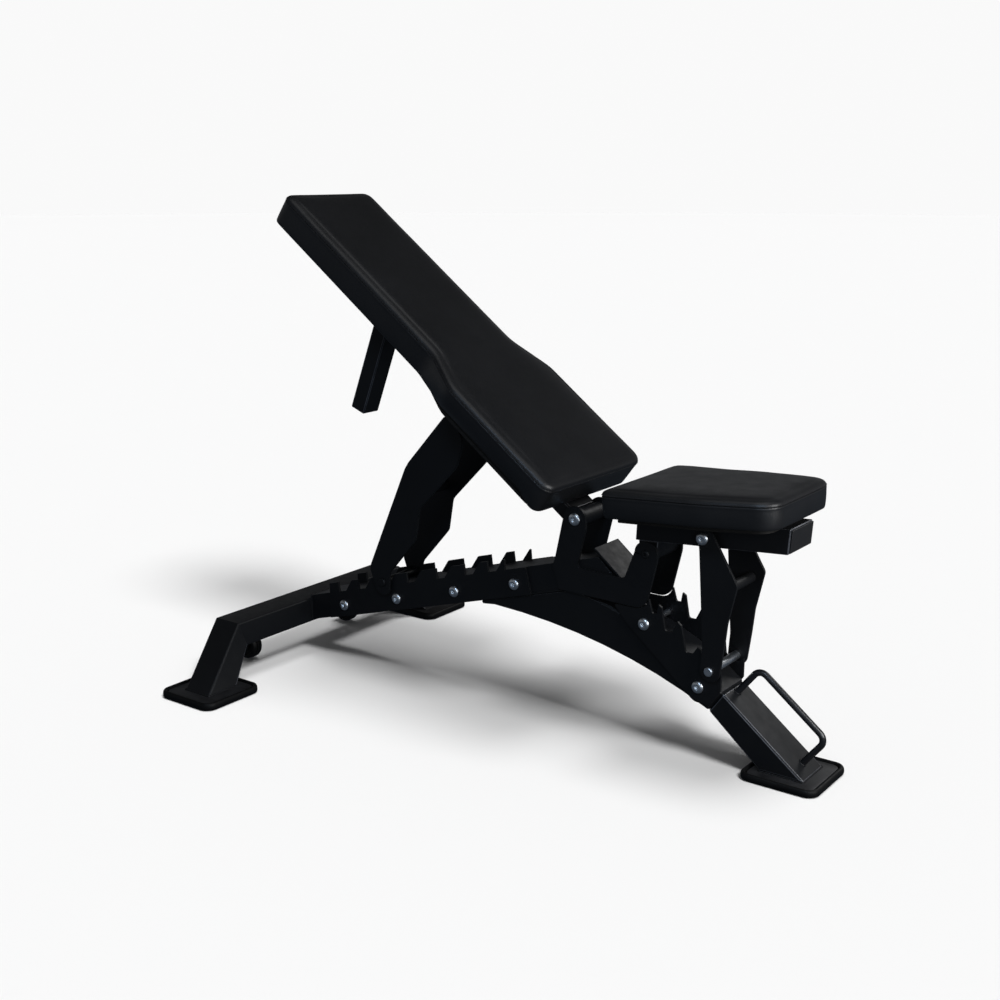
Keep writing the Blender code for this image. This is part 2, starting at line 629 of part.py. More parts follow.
# ---------------------------------------------------------------- seat
def build_seat(steel, zinc, leather, board, rubber):
    origin = frame_point(SEAT_PIVOT)
    axis = joint_empty("seat_axis", SEAT_PIVOT)
    pad = prism_mesh(seat_pad_outline(0.0), -SEAT_THICK, -GAP, seat_place)
    item = add_object("seat_pad", pad, leather, origin, axis)
    bevel(item, 0.008, 2)
    seat_board = prism_mesh(seat_pad_outline(0.022), 0.0, BOARD_THICK - GAP, seat_place)
    add_object("seat_board", seat_board, board, origin, axis)

    low_rear, low_front = (-0.2930, 0.3758), (-0.0095, 0.3958)
    top_rear, top_front = seat_point(0.0225, BOARD_THICK), seat_point(0.3070, BOARD_THICK)
    tube = side_plate("seat_tube", [low_rear, low_front, top_front, top_rear], -0.0425, 0.0425, steel,
                      origin, axis)
    drill(tube, SEAT_STRUT_PIVOT, BOLT_RADIUS + GAP)
    bevel(tube, 0.003)
    front = [(low_front[0] + GAP, low_front[1] + 0.002), (low_front[0] + 0.003, low_front[1] + 0.002),
             (top_front[0] + 0.003, top_front[1] - 0.002), (top_front[0] + GAP, top_front[1] - 0.002)]
    side_plate("seat_tube_cap", front, -0.0405, 0.0405, rubber, origin, axis)
    lug = rounded_outline([(-0.2860, 0.3400, 0.0158), (-0.2540, 0.3400, 0.0158), (-0.2500, 0.3785),
                           (-0.2880, 0.3758)])
    item = side_plate("seat_hinge_lug", lug, -BEAM_HALF_WIDTH + 0.0005, BEAM_HALF_WIDTH - 0.0005, steel,
                      origin, axis)
    drill(item, SEAT_PIVOT, BOLT_RADIUS + GAP)
    bolt_across("seat_strut_bolt", SEAT_STRUT_PIVOT, STRUT_INNER + STRUT_PLATE, zinc, origin, axis)


def build_seat_strut(steel, zinc):
    origin = frame_point(SEAT_STRUT_PIVOT)
    axis = joint_empty("seat_strut_axis", SEAT_STRUT_PIVOT)
    outline = rounded_outline([
        (-0.1725, 0.4165, 0.0140), (-0.1420, 0.4165, 0.010), (-0.0905, 0.3310, 0.012),
        (-0.1060, 0.2620, 0.03), (-0.1110, 0.2150, 0.02), (-0.1190, 0.1545, 0.0175),
        (-0.1550, 0.1545, 0.0175), (-0.1510, 0.2100, 0.03), (-0.1635, 0.3850, 0.02)])
    for side, sign in (("l", 1), ("r", -1)):
        plate = side_plate("seat_strut_plate_" + side, outline, sign * STRUT_INNER,
                           sign * (STRUT_INNER + STRUT_PLATE), steel, origin, axis)
        drill(plate, SEAT_STRUT_PIVOT, BOLT_RADIUS + GAP)
        drill(plate, SEAT_ROD, ROD_RADIUS + GAP)
    bar_across("seat_strut_tube", (-0.1160, 0.3180), 0.0095, STRUT_INNER - GAP, steel, origin, axis)
    bar_across("seat_strut_rod", SEAT_ROD, ROD_RADIUS, STRUT_INNER + STRUT_PLATE + 0.004, zinc, origin,
               axis)


# ---------------------------------------------------------------- whole bench
def main():
    clear_scene()
    steel = make_material("powder_coated_steel", (0.028, 0.030, 0.034), 0.42, 0.2)
    zinc = make_material("zinc_plated_steel", (0.72, 0.72, 0.70), 0.28, 1.0)
    leather = make_material("black_synthetic_leather", (0.018, 0.018, 0.020), 0.45)
    board = make_material("black_plywood", (0.020, 0.018, 0.016), 0.8)
    rubber = make_material("black_rubber", (0.022, 0.022, 0.022), 0.75)
    build_feet(steel, rubber)
    build_rear_legs(steel)
    build_spine(steel)
    build_front_beam(steel)
    build_lift_handle(steel)
    build_side_plates(steel)
    build_base_bolts(steel, zinc)
    build_wheels(steel, zinc, rubber)
    build_backrest(steel, zinc, leather, board, rubber)
    build_back_strut(steel, zinc)
    build_seat(steel, zinc, leather, board, rubber)
    build_seat_strut(steel, zinc)


main()
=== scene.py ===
import json
import math
import bmesh
import bpy
import numpy as np
from mathutils import Matrix, Vector, noise


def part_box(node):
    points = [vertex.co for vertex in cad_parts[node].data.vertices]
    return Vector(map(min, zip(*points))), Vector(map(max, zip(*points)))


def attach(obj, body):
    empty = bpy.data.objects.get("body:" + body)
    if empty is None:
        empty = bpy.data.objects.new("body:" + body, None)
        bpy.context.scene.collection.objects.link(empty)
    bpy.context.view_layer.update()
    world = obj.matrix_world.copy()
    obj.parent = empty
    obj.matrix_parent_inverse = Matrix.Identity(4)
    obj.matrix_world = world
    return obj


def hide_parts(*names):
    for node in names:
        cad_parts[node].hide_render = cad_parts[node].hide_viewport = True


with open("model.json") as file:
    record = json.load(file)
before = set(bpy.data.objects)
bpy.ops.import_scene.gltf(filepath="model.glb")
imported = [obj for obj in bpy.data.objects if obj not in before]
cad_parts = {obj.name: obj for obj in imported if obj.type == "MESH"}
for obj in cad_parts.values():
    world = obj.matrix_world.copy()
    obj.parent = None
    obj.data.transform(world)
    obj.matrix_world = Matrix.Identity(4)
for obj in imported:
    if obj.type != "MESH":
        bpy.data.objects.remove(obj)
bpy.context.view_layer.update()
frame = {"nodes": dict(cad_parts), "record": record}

BODIES = frame["record"]["behaviour"]["bodies"]
BODY_OF = {node: body for body, nodes in BODIES.items() for node in nodes}
FRONT_FOOT_X = 0.55775


def at(side_point, y=0.0):
    return Vector((side_point[0] + FRONT_FOOT_X, y, side_point[1]))


# ---------------------------------------------------------------- materials
class Look:
    """A node material under construction: short calls for the nodes that the looks share."""

    def __init__(self, name, colour, roughness, metallic=0.0, specular=0.5):
        self.material = bpy.data.materials.new(name)
        self.material.use_nodes = True
        self.tree = self.material.node_tree
        self.shader = self.tree.nodes["Principled BSDF"]
        self.shader.inputs["Base Color"].default_value = (*colour, 1.0)
        self.shader.inputs["Roughness"].default_value = roughness
        self.shader.inputs["Metallic"].default_value = metallic
        self.shader.inputs["Specular IOR Level"].default_value = specular
        self.place = self.tree.nodes.new("ShaderNodeTexCoord").outputs["Object"]

    def stretched(self, scale):
        """Object coordinates scaled by a vector, for grain that runs one way."""
        mapping = self.tree.nodes.new("ShaderNodeMapping")
        mapping.inputs["Scale"].default_value = scale
        self.tree.links.new(self.place, mapping.inputs["Vector"])
        return mapping.outputs["Vector"]

    def noise(self, scale, detail=3.0, rough=0.55, place=None):
        node = self.tree.nodes.new("ShaderNodeTexNoise")
        node.inputs["Scale"].default_value = scale
        node.inputs["Detail"].default_value = detail
        node.inputs["Roughness"].default_value = rough
        self.tree.links.new(place or self.place, node.inputs["Vector"])
        return node.outputs["Fac"]

    def cells(self, scale):
        """Distance to the edges of irregular cells, for leather grain and moulded plastic."""
        node = self.tree.nodes.new("ShaderNodeTexVoronoi")
        node.feature = "DISTANCE_TO_EDGE"
        node.inputs["Scale"].default_value = scale
        self.tree.links.new(self.place, node.inputs["Vector"])
        return node.outputs["Distance"]

    def ramp(self, source, low, high, start=0.3, end=0.7):
        """Map a value to a colour or a grey between two stops."""
        node = self.tree.nodes.new("ShaderNodeValToRGB")
        for stop, place, value in zip(node.color_ramp.elements, (start, end), (low, high)):
            stop.position = place
            stop.color = (*value, 1.0) if isinstance(value, tuple) else (value, value, value, 1.0)
        self.tree.links.new(source, node.inputs["Fac"])
        return node.outputs["Color"]

    def colour(self, source, low, high, start=0.3, end=0.7):
        self.tree.links.new(self.ramp(source, low, high, start, end), self.shader.inputs["Base Color"])

    def rough(self, source, low, high, start=0.3, end=0.7):
        self.tree.links.new(self.ramp(source, low, high, start, end), self.shader.inputs["Roughness"])

    def bump(self, source, strength, distance):
        """Add a bump on top of the ones added before."""
        node = self.tree.nodes.new("ShaderNodeBump")
        node.inputs["Strength"].default_value = strength
        node.inputs["Distance"].default_value = distance
        self.tree.links.new(source, node.inputs["Height"])
        before = self.shader.inputs["Normal"]
        if before.is_linked:
            self.tree.links.new(before.links[0].from_socket, node.inputs["Normal"])
        self.tree.links.new(node.outputs["Normal"], before)


def make_leather():
    look = Look("black_leather", (0.0095, 0.0100, 0.0115), 0.37, specular=0.5)
    look.colour(look.noise(7.0, 4.0), (0.0078, 0.0081, 0.0090), (0.0118, 0.0122, 0.0134))
    look.rough(look.noise(38.0, 5.0), 0.32, 0.40)
    look.bump(look.ramp(look.cells(560.0), 0.0, 1.0, 0.02, 0.22), 0.22, 0.0003)
    look.bump(look.noise(240.0, 4.0, 0.6), 0.12, 0.0004)
    look.bump(look.noise(26.0, 3.0), 0.10, 0.0015)
    return look.material


def make_powder_coat():
    look = Look("black_powder_coat", (0.0070, 0.0074, 0.0088), 0.48, specular=0.30)
    look.colour(look.noise(5.0, 4.0), (0.0060, 0.0064, 0.0076), (0.0090, 0.0096, 0.0110))
    look.rough(look.noise(60.0, 4.0), 0.44, 0.54)
    look.bump(look.noise(900.0, 2.0, 0.5), 0.10, 0.0002)
    look.bump(look.noise(150.0, 2.0, 0.5), 0.05, 0.0004)
    return look.material


def make_rubbed_edge():
    """Powder coat along the tubes' corners, smoother than the frame's and coloured much lighter: painted
    highlight lines on the corners.
    """
    # The light colour is painted highlight, many times lighter than the frame steel's.
    look = Look("rubbed_edge", (0.085, 0.088, 0.100), 0.30, specular=0.8)
    look.colour(look.noise(35.0, 4.0), (0.045, 0.047, 0.054), (0.120, 0.124, 0.140))
    look.rough(look.noise(60.0, 4.0), 0.26, 0.38)
    look.bump(look.noise(900.0, 2.0, 0.5), 0.06, 0.0002)
    return look.material


def make_polished():
    """Powder coat of the lift handle, smoother and shinier than the frame's."""
    look = Look("polished_powder_coat", (0.012, 0.0125, 0.015), 0.26, specular=0.8)
    look.colour(look.noise(30.0, 4.0), (0.009, 0.0094, 0.0112), (0.015, 0.0158, 0.0186))
    look.rough(look.noise(60.0, 4.0), 0.22, 0.32)
    look.bump(look.noise(900.0, 2.0, 0.5), 0.06, 0.0002)
    return look.material


def make_plate_steel():
    """The feet's plates, coloured lighter than the frame's steel: painted light for their lit tops."""
    # Painted light: the plates' colour is lighter than the frame steel's to brighten their tops.
    look = Look("dusty_plate", (0.016, 0.016, 0.017), 0.50, specular=0.40)
    look.colour(look.noise(30.0, 5.0), (0.012, 0.012, 0.013), (0.026, 0.026, 0.027))
    look.rough(look.noise(60.0, 4.0), 0.42, 0.58)
    look.bump(look.noise(600.0, 2.0, 0.5), 0.08, 0.0002)
    return look.material


def make_zinc():
    look = Look("bright_zinc", (0.86, 0.90, 0.94), 0.30, metallic=1.0)
    look.colour(look.noise(420.0, 3.0), (0.74, 0.79, 0.84), (0.92, 0.96, 1.0))
    look.rough(look.noise(300.0, 3.0), 0.26, 0.40)
    look.bump(look.noise(1600.0, 2.0), 0.05, 0.0001)
    return look.material


def make_rubber():
    look = Look("black_rubber", (0.0045, 0.0045, 0.0048), 0.50, specular=0.20)
    look.colour(look.noise(16.0, 4.0), (0.0035, 0.0035, 0.0037), (0.0058, 0.0058, 0.0061))
    look.rough(look.noise(120.0, 3.0), 0.42, 0.58)
    look.bump(look.noise(700.0, 3.0), 0.16, 0.0003)
    return look.material


def make_plastic():
    look = Look("black_plastic", (0.013, 0.013, 0.014), 0.5, specular=0.4)
    look.rough(look.noise(90.0, 3.0), 0.44, 0.58)
    look.bump(look.cells(900.0), 0.14, 0.0002)
    return look.material


def make_board():
    look = Look("black_plywood", (0.012, 0.011, 0.0105), 0.7, specular=0.3)
    grain = look.noise(1.0, 6.0, 0.65, look.stretched((14.0, 260.0, 260.0)))
    look.colour(grain, (0.008, 0.0075, 0.007), (0.020, 0.018, 0.016), 0.35, 0.65)
    look.rough(grain, 0.6, 0.8)
    look.bump(grain, 0.25, 0.0005)
    return look.material


def make_thread():
    look = Look("black_thread", (0.020, 0.020, 0.022), 0.6, specular=0.35)
    look.bump(look.noise(2600.0, 2.0), 0.4, 0.0002)
    look.rough(look.noise(900.0, 2.0), 0.5, 0.7)
    return look.material


LEATHER = make_leather()
STEEL = make_powder_coat()
EDGE_HIGHLIGHT = make_rubbed_edge()
POLISHED = make_polished()
PLATE_PAINTED_LIGHT = make_plate_steel()
ZINC = make_zinc()
RUBBER = make_rubber()
PLASTIC = make_plastic()
BOARD = make_board()
THREAD = make_thread()


# ---------------------------------------------------------------- making pieces
def make_piece(name, mesh, material, body, nodes=()):
    """Finish a mesh as a piece that rides on a body and stands for CAD nodes."""
    item = bpy.data.objects.new(name, mesh)
    bpy.context.scene.collection.objects.link(item)
    mesh.materials.clear()
    mesh.materials.append(material)
    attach(item, body)
    if nodes:
        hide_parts(*nodes)
    return item


def smooth_by_angle(mesh, degrees=35.0):
    mesh.shade_smooth()
    mesh.set_sharp_from_angle(angle=math.radians(degrees))


def add_bevel(item, width, segments):
    """Round the edges that carry a bevel weight."""
    modifier = item.modifiers.new("edge", "BEVEL")
    modifier.width = width
    modifier.segments = segments
    modifier.limit_method = "WEIGHT"
    modifier.harden_normals = True


JOINT_REACH = 0.0012           # faces of welded nodes lie closer together than this
SHARP_DEGREES = 28.0           # edges of tubes and plates that turn more than this are rounded


def close_joint(shape, partners):
    """Bring the faces welded to other nodes up to them; returns the vertices of those faces."""
    welded = set()
    for partner in partners:
        others = [vertex.co.copy() for vertex in frame["nodes"][partner].data.vertices]
        for vertex in shape.verts:
            nearest = min(others, key=lambda point: (point - vertex.co).length)
            if (nearest - vertex.co).length < JOINT_REACH:
                vertex.co = (vertex.co + nearest) / 2
                welded.add(vertex)
    return welded


def finish_node(node, material, width=0.0010, segments=2, partners=()):
    """The CAD node's own shape with rounded edges, as plate and tube edges are."""
    mesh = frame["nodes"][node].data.copy()
    shape = bmesh.new()
    shape.from_mesh(mesh)
    bmesh.ops.remove_doubles(shape, verts=shape.verts, dist=0.00002)
    bmesh.ops.dissolve_limit(shape, angle_limit=math.radians(0.6), verts=shape.verts,
                             edges=shape.edges)
    bmesh.ops.recalc_face_normals(shape, faces=shape.faces)
    welded = close_joint(shape, partners)
    weight = shape.edges.layers.float.new("bevel_weight_edge")
    for edge in shape.edges:
        inside = all(vertex in welded for vertex in edge.verts)
        sharp = len(edge.link_faces) == 2 and edge.calc_face_angle() > math.radians(SHARP_DEGREES)
        edge[weight] = 1.0 if sharp and not inside else 0.0
    fresh = bpy.data.meshes.new(node + "_finish")
    shape.to_mesh(fresh)
    shape.free()
    smooth_by_angle(fresh, SHARP_DEGREES)
    item = make_piece(node + "_finish", fresh, material, BODY_OF[node], [node])
    add_bevel(item, width, segments)
    return item


def loft(rings, closed=False):
    """Faces between rings of points, each ring closed; ends capped unless the rings form a torus."""
    shape = bmesh.new()
    levels = [[shape.verts.new(point) for point in ring] for ring in rings]
    pairs = list(zip(levels, levels[1:]))
    if closed:
        pairs.append((levels[-1], levels[0]))
    else:
        shape.faces.new(levels[0])
        shape.faces.new(levels[-1][::-1])
    count = len(rings[0])
    for ring, following in pairs:
        for index in range(count):
            after = (index + 1) % count
            shape.faces.new((ring[after], ring[index], following[index], following[after]))
    bmesh.ops.recalc_face_normals(shape, faces=shape.faces)
    mesh = bpy.data.meshes.new("lofted")
    shape.to_mesh(mesh)
    shape.free()
    return mesh


def circle(centre, radius, y, sides):
    """Points of a circle across the bench, centre given as a frame point."""
    return [Vector((centre[0] + radius * math.cos(2 * math.pi * i / sides), y,
                    centre[2] + radius * math.sin(2 * math.pi * i / sides))) for i in range(sides)]


def hexagon(centre, apothem, y, sides):
    """Points along a hexagon, matched by angle to those of a circle."""
    points = []
    for index in range(sides):
        turn = 2 * math.pi * index / sides
        reach = apothem / math.cos((turn % (math.pi / 3)) - math.pi / 6)
        points.append(Vector((centre[0] + reach * math.cos(turn), y,
                              centre[2] + reach * math.sin(turn))))
    return points


def turned(name, centre, profile, material, body, nodes=(), sides=48, closed=False):
    """Turned piece across the bench from (y, radius) stations."""
    mesh = loft([circle(centre, radius, y, sides) for y, radius in profile], closed)
    smooth_by_angle(mesh, 32.0)
    return make_piece(name, mesh, material, body, nodes)


def node_middle(node):
    low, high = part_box(node)
    return (low + high) / 2


def tube_along(points, radius, sides=16, radii=None):
    """Round tube along frame points with flat ends."""
    rings = []
    across = None
    for index, point in enumerate(points):
        before = points[max(0, index - 1)]
        after = points[min(len(points) - 1, index + 1)]
        along = (after - before).normalized()
        if across is None:
            helper = Vector((0, 0, 1)) if abs(along.z) < 0.9 else Vector((1, 0, 0))
            across = along.cross(helper).normalized()
        across = (across - along * across.dot(along)).normalized()
        second = along.cross(across)
        size = radii[index] if radii else radius
        turns = [2 * math.pi * i / sides for i in range(sides)]
        rings.append([point + (across * math.cos(turn) + second * math.sin(turn)) * size
                      for turn in turns])
    return loft(rings)


def resample(points, spacing, closed=False):
    """Points at an even spacing along a polyline."""
    path = list(points) + ([points[0]] if closed else [])
    result = [path[0].copy()]
    left = spacing
    for start, end in zip(path, path[1:]):
        length = (end - start).length
        done = left
        while done <= length:
            result.append(start.lerp(end, done / length))
            done += spacing
        left = done - length
    return result


BEAD_STEP = 0.0011             # spacing of the points along a weld bead


def weld_bead(name, points, radius, body, closed=False):
    """Rippled weld bead along frame points, half sunk into the corner that it fills."""
    path = resample(points, BEAD_STEP, closed)
    radii = []
    for index in range(len(path)):
        ripple = abs(math.sin(index * math.pi / 4.0))
        wander = noise.noise(path[index] * 90.0)
        radii.append(radius * (0.86 + 0.16 * ripple + 0.14 * wander))
    mesh = tube_along(path, radius, 8, radii)
    smooth_by_angle(mesh, 60.0)
    return make_piece(name, mesh, STEEL, body)


def rounded_outline(corners, step=math.radians(6)):
    """Outline from corners (a, b) or (a, b, radius), each radius turned into an arc."""
    points = []
    count = len(corners)
    for index, corner in enumerate(corners):
        here = Vector(corner[:2])
        radius = corner[2] if len(corner) > 2 else 0.0
        before = (Vector(corners[index - 1][:2]) - here).normalized()
        after = (Vector(corners[(index + 1) % count][:2]) - here).normalized()
        opening = before.angle(after)
        if radius <= 0.0 or opening > math.pi - 0.02:
            points.append(here)
            continue
        reach = radius / math.tan(opening / 2)
        centre = here + (before + after).normalized() * (radius / math.sin(opening / 2))
        first = here + before * reach - centre
        turn = math.pi - opening
        if before.x * after.y - before.y * after.x > 0:
            turn = -turn
        steps = max(1, round(abs(turn) / step))
        for number in range(steps + 1):
            points.append(centre + Matrix.Rotation(turn * number / steps, 2) @ first)
    return points


# ---------------------------------------------------------------- hardware
# Button head from its socket's rim outwards: share of the head's radius, share of its height.
DOME = [(0.47, 0.0), (0.56, 0.0), (0.70, 0.09), (0.83, 0.24), (0.93, 0.44), (0.985, 0.64), (1.0, 0.80),
        (0.985, 1.0)]
SOCKET_SHARE = 0.34            # socket, shank and nut as shares of the head's radius
SHANK_SHARE = 0.5
NUT_SHARE = 0.80
# Lock nut from its washer face: shape, share of the nut's radius, share of the head's height.
NUT = [(circle, 1.04, 0.0), (hexagon, 1.0, 0.12), (hexagon, 1.0, 0.62), (circle, 0.98, 0.74),
       (circle, 0.78, 0.95), (circle, 0.60, 0.95)]


def make_bolt(node):
    """Button head screw with a hexagon socket, and a lock nut on its far end."""
    low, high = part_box(node)
    centre = (low + high) / 2
    head = (high.x - low.x) / 2
    tip = high.y
    height = min(0.0055, head * 0.5)
    face = tip - height
    shank = SHANK_SHARE * head
    nut = NUT_SHARE * head
    sides = 48
    socket = SOCKET_SHARE * head
    rings = [hexagon(centre, socket, -tip + 0.62 * height, sides),
             hexagon(centre, socket, -tip + 0.0003, sides)]
    rings += [circle(centre, share * head, -tip + drop * height, sides) for share, drop in DOME]
    rings += [circle(centre, shank, -face, sides), circle(centre, shank, face, sides)]
    rings += [shape(centre, share * nut, face + rise * height, sides) for shape, share, rise in NUT]
    rings += [circle(centre, 0.55 * nut, tip, sides), circle(centre, 0.45 * nut, tip + 0.0004, sides)]
    mesh = loft(rings)
    smooth_by_angle(mesh, 32.0)
    # The seat hinge bolt is painted shade: black steel in place of zinc, as it sits in shade under the
    # seat.
    material = STEEL if node == "seat_hinge_bolt" else ZINC
    return make_piece(node + "_screw", mesh, material, BODY_OF[node], [node])


def make_rod(node, material, chamfer=0.0012):
    """Round bar across the bench with chamfered ends."""
    low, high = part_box(node)
    radius = (high.x - low.x) / 2
    profile = [(low.y, radius - chamfer), (low.y + chamfer, radius), (high.y - chamfer, radius),
               (high.y, radius - chamfer)]
    return turned(node + "_round", node_middle(node), profile, material, BODY_OF[node], [node])


def make_ring(node, material, inner, chamfer=0.0008):
    """Short sleeve with chamfered edges."""
    low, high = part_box(node)
    outer = (high.x - low.x) / 2
    profile = [(low.y, inner), (low.y, outer - chamfer), (low.y + chamfer, outer),
               (high.y - chamfer, outer), (high.y, outer - chamfer), (high.y, inner)]
    return turned(node + "_round", node_middle(node), profile, material, BODY_OF[node], [node],
                  closed=True)


def make_wheel(node):
    """Solid rubber wheel: crowned tread with grooves, a recessed web and a raised hub."""
    low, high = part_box(node)
    middle = (low + high) / 2
    half = (high.y - low.y) / 2
    radius = (high.z - low.z) / 2
    side = [(0.0, 0.0046), (0.0, 0.0095), (-0.0030, 0.0105), (-0.0034, 0.0190), (-0.0006, 0.0210),
            (-0.0002, radius - 0.0048), (-0.0014, radius - 0.0022)]
    tread = [(-0.0040, radius - 0.0006), (-0.0086, radius - 0.0001), (-0.0090, radius - 0.0016),
             (-0.0102, radius - 0.0016), (-0.0106, radius)]
    half_profile = [(half + y, size) for y, size in side + tread]
    profile = half_profile + [(-y, size) for y, size in reversed(half_profile)]
    stations = [(middle.y + y, size) for y, size in profile]
    return turned(node + "_tyre", middle, stations, RUBBER, BODY_OF[node], [node], sides=64,
                  closed=True)


def make_axle(node):
    low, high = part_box(node)
    centre = node_middle(node)
    cap = [(0.0, 0.0030), (0.0006, 0.0052), (0.0018, 0.0066), (0.0030, 0.0072), (0.0030, 0.0040)]
    profile = [(low.y + y, size) for y, size in cap] + [(high.y - y, size) for y, size in reversed(cap)]
    return turned(node + "_round", centre, profile, ZINC, BODY_OF[node], [node])


# ---------------------------------------------------------------- feet
FOOT_CORNER = 0.022            # corner radius of a foot's outline
PLATE_INSET = 0.0098           # from the rubber's outer edge to the steel plate's


def square_loop(centre, half, radius, z):
    corners = [(-half, -half, radius), (half, -half, radius),
               (half, half, radius), (-half, half, radius)]
    outline = rounded_outline(corners, math.radians(9))
    return [Vector((centre.x + p.x, centre.y + p.y, z)) for p in outline]


def make_foot(prefix):
    """Rubber foot with a rolled lip round a recessed steel plate."""
    low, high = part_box(prefix + "_rubber")
    centre = (low + high) / 2
    half = (high.x - low.x) / 2
    lip = high.z
    plate_low, plate_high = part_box(prefix + "_plate")
    top = plate_high.z
    profile = [(0.0035, low.z), (0.0009, 0.0012), (0.0, 0.0040), (0.0, 0.55 * lip), (0.0006, 0.80 * lip),
               (0.0022, 0.96 * lip), (0.0046, lip + 0.0004), (0.0068, lip - 0.0004),
               (0.0080, lip - 0.0022), (0.0084, plate_low.z + 0.0010)]
    rings = [square_loop(centre, half - inset, max(FOOT_CORNER - inset, 0.006), z)
             for inset, z in profile]
    mesh = loft(rings)
    smooth_by_angle(mesh, 50.0)
    make_piece(prefix + "_rubber_pad", mesh, RUBBER, "frame", [prefix + "_rubber"])
    plate = [(PLATE_INSET, plate_low.z + 0.0002), (PLATE_INSET, top - 0.0016),
             (PLATE_INSET + 0.0005, top - 0.0005), (PLATE_INSET + 0.0016, top)]
    rings = [square_loop(centre, half - inset, FOOT_CORNER - inset + 0.002, z) for inset, z in plate]
    mesh = loft(rings)
    smooth_by_angle(mesh, 32.0)
    # The plate's lighter colour is painted light on its top.
    make_piece(prefix + "_plate_pressed", mesh, PLATE_PAINTED_LIGHT, "frame", [prefix + "_plate"])


# ---------------------------------------------------------------- cushions
SEAM = 5                       # index of the seam's ring below
# Rings of the cover from its top edge: depth below the top plane, inset from the outline.
PAD_RINGS = [(0.0000, 0.0150), (0.0008, 0.0080), (0.0024, 0.0038), (0.0048, 0.0013), (0.0074, 0.0003),
             (0.0098, 0.0), (0.0150, 0.0), (0.0210, 0.0), (0.0280, 0.0), (0.0350, 0.0), (0.0420, 0.0),
             (0.0480, 0.0)]
WALL_START = 0.016             # depth below which the sides lean in towards the board
CROWN = 0.0028                 # height of the foam's crown over the top plane
HELD = 0.0005                  # the cover is stapled to its board this near the underside
COVER_SLACK = 0.0004           # the cover is cut this much smaller than the finished cushion
COVER_SWELL = 0.0022           # the most that pressure lifts the cover
PRESSURE = 4.0
CLOTH_FRAMES = 20
EVENING_ROUNDS = 8             # how often the swelling is averaged with its neighbours


